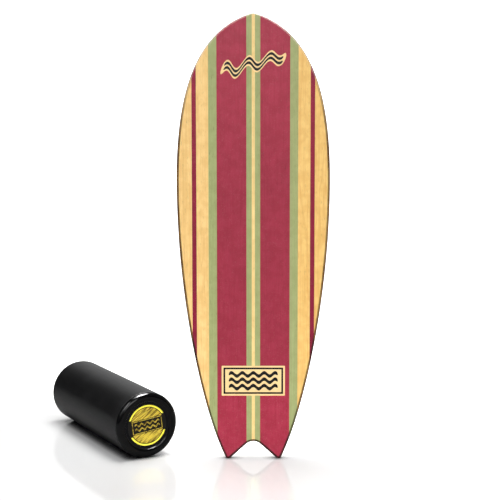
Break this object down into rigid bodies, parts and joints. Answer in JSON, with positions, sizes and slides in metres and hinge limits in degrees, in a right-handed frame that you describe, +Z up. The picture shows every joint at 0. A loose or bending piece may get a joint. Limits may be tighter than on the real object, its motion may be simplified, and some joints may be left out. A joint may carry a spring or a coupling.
{
  "type": "balance board",
  "caption": "Fish-tailed laminated wooden balance deck with lengthwise stripes, standing on its tail tips, beside the hollow black plastic roller it rides on.",
  "frame": {"origin": "bottom centre of the bounding box of the whole set, on the floor", "axes": "+Z up along the standing deck, -Y the way the striped face looks, +X to the viewer's right"},
  "size_m": [0.7442, 0.4698, 1.1],
  "materials": {
    "natural_veneer": "clear satin lacquer with fine grit",
    "red_veneer": "dyed, clear satin lacquer with fine grit",
    "green_veneer": "dyed, clear satin lacquer with fine grit",
    "yellow_veneer": "dyed, clear satin lacquer with fine grit",
    "long_ply": "sanded and sealed ply edge",
    "cross_ply": "sanded and sealed dark end grain",
    "back_veneer": "clear satin lacquer",
    "badge_film": "printed film under the lacquer",
    "stop_hardwood": "oiled hardwood",
    "screw_steel": "zinc plated",
    "tube_plastic": "black extruded plastic, satin",
    "cap_plastic": "black moulded plastic, polished",
    "end_badge_film": "printed vinyl"
  },
  "bodies": {
    "deck": {"face_centre_yellow": "yellow_veneer", "face_left_inner_green": "green_veneer", "face_left_wide_red": "red_veneer", "face_left_outer_green": "green_veneer", "face_left_inner_natural": "natural_veneer", "face_left_thin_red": "red_veneer", "face_left_outer_natural": "natural_veneer", "face_right_inner_green": "green_veneer", "face_right_wide_red": "red_veneer", "face_right_outer_green": "green_veneer", "face_right_inner_natural": "natural_veneer", "face_right_thin_red": "red_veneer", "face_right_outer_natural": "natural_veneer", "ply_1_cross_grain": "cross_ply", "ply_2_long_grain": "long_ply", "ply_3_cross_grain": "cross_ply", "ply_4_long_grain": "long_ply", "ply_5_cross_grain": "cross_ply", "ply_6_long_grain": "long_ply", "ply_7_cross_grain": "cross_ply", "back_veneer": "back_veneer", "nose_badge": "badge_film", "tail_badge": "badge_film", "tail_stop": "stop_hardwood", "nose_stop": "stop_hardwood", "tail_stop_screw_left": "screw_steel", "tail_stop_screw_middle": "screw_steel", "tail_stop_screw_right": "screw_steel", "nose_stop_screw_left": "screw_steel", "nose_stop_screw_middle": "screw_steel", "nose_stop_screw_right": "screw_steel"},
    "roller": {"roller_tube": "tube_plastic", "front_end_cap": "cap_plastic", "rear_end_cap": "cap_plastic", "front_end_badge": "end_badge_film", "rear_end_badge": "end_badge_film"}
  },
  "joints": [
    {"name": "roller_roll", "type": "hinge", "parent": "deck", "child": "roller", "pos_m": [-0.19163, 0, 0.0825], "axis": [0.4955, -0.8686, 0], "continuous": true}
  ]
}
